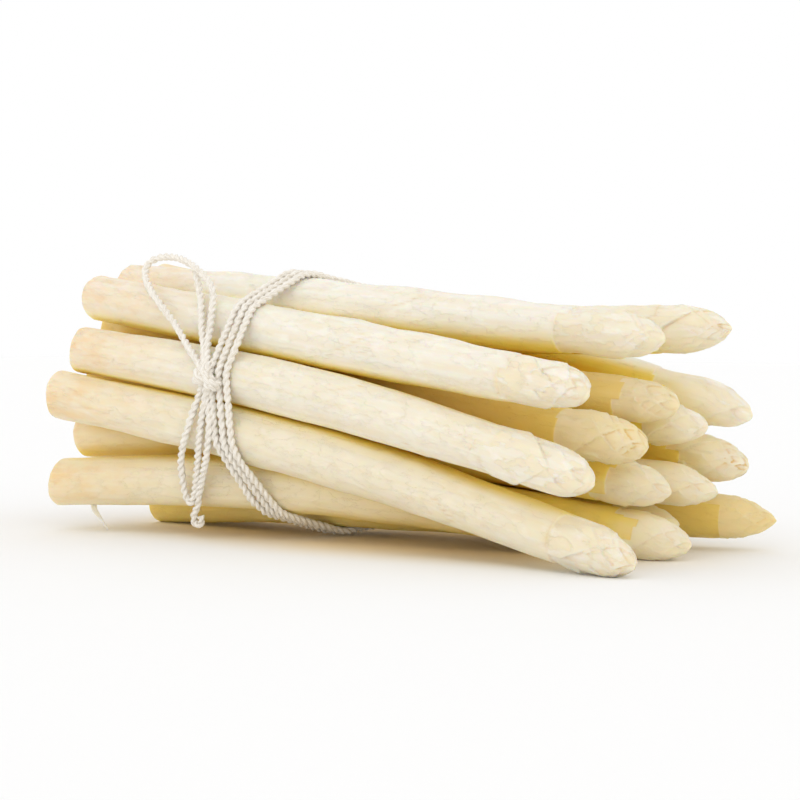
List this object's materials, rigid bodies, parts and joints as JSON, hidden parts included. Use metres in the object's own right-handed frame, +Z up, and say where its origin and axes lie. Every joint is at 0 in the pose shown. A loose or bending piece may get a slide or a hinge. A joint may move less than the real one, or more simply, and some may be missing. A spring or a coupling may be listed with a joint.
{
  "type": "bundle of asparagus",
  "caption": "Bundle of thick white asparagus spears lying on its side, scaly pointed heads fanned out at one end, tied near the cut ends with natural twine in a bow",
  "frame": {"origin": "bottom centre of the bundle, on the surface that it lies on", "axes": "+X along the spears towards their tips, -Y towards the knot of the twine, +Z up"},
  "size_m": [0.242, 0.1148, 0.098],
  "materials": {
    "asparagus": "peeled white asparagus, ivory with a soft satin skin",
    "twine": "undyed two-ply flax twine, slightly hairy"
  },
  "bodies": {
    "root": {"spear_front_1": "asparagus", "spear_front_2": "asparagus", "spear_front_3": "asparagus", "spear_front_4": "asparagus", "spear_low_1": "asparagus", "spear_low_2": "asparagus", "spear_back_1": "asparagus", "spear_back_2": "asparagus", "spear_back_3": "asparagus", "spear_top_3": "asparagus", "spear_top_2": "asparagus", "spear_top_1": "asparagus", "spear_core_1": "asparagus", "spear_core_2": "asparagus", "spear_core_3": "asparagus", "spear_core_4": "asparagus", "spear_core_5": "asparagus", "twine": "twine"}
  },
  "joints": []
}
